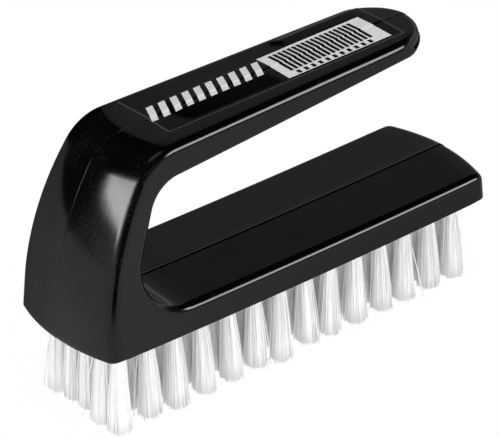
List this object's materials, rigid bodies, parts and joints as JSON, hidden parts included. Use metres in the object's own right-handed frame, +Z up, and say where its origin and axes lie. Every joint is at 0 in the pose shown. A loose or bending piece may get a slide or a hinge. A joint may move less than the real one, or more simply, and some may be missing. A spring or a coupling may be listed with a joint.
{
  "type": "scrubbing brush",
  "caption": "Hand scrubbing brush: one-piece black plastic block with an open looped grip, rows of white nylon tufts and a plain film label on the handle.",
  "frame": {"origin": "centre of the plane that the bristle tips stand on", "axes": "+X along the block towards the open end of the grip, +Z up from the bristle tips through the block to the handle, +Y across the block, with the mould parting line at Y = 0"},
  "size_m": [0.1232, 0.0379, 0.0724],
  "materials": {
    "black_plastic": "glossy black injection moulding with fine scuffs",
    "label_film": "glossy black film with a pale plain panel",
    "anchor_wire": "flat drawn wire",
    "white_nylon": "white translucent nylon filament"
  },
  "bodies": {
    "root": {"body": "black_plastic", "label": "label_film", "anchors": "anchor_wire", "tufts_01": "white_nylon", "tufts_02": "white_nylon", "tufts_03": "white_nylon", "tufts_04": "white_nylon", "tufts_05": "white_nylon", "tufts_06": "white_nylon", "tufts_07": "white_nylon", "tufts_08": "white_nylon", "tufts_09": "white_nylon", "tufts_10": "white_nylon", "tufts_11": "white_nylon", "tufts_12": "white_nylon", "tufts_13": "white_nylon", "tufts_14": "white_nylon"}
  },
  "joints": []
}
